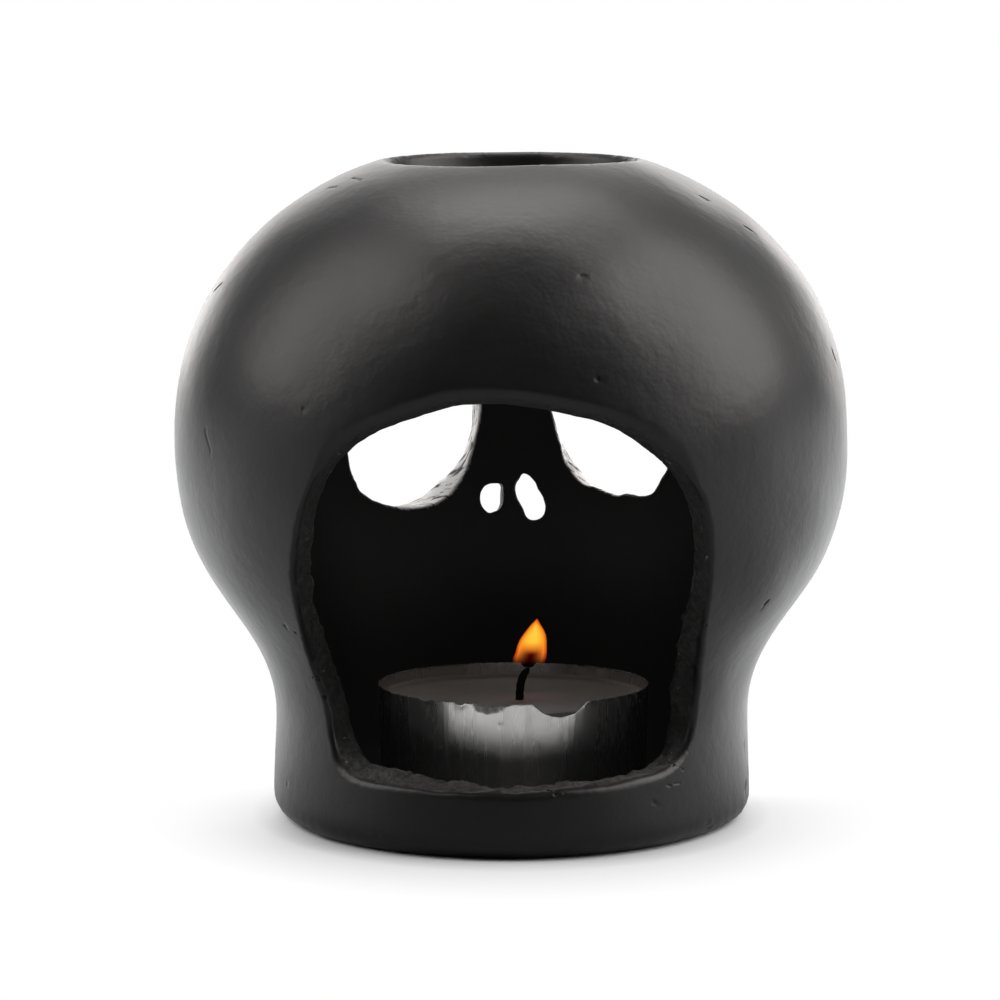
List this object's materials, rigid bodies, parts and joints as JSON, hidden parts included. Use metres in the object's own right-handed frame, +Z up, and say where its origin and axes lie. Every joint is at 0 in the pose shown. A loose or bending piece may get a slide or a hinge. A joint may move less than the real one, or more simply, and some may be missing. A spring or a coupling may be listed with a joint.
{
  "type": "skull candle holder",
  "caption": "Hollow matt black ceramic skull: arched door at the back for a tealight, open eyes and nostrils, relief teeth and a shallow oil dish in the crown.",
  "frame": {"origin": "centre of the foot's flat resting face, on the tealight's axis", "axes": "+Z up, the face towards -Y and the candle door towards +Y"},
  "size_m": [0.0948, 0.0995, 0.0927],
  "materials": {
    "ceramic": "satin to matt black, worn at the cut edges",
    "foil": "pressed foil, dented and sooty, with a torn rim",
    "wax": "paraffin wax, smooth, part melted round the wick",
    "tin": "thin tinned steel, stamped",
    "cotton": "braided cotton, charred black"
  },
  "bodies": {
    "root": {"skull_shell": "ceramic", "tealight_cup": "foil", "tealight_wax": "wax", "wick_clip": "tin", "wick": "cotton"}
  },
  "joints": []
}
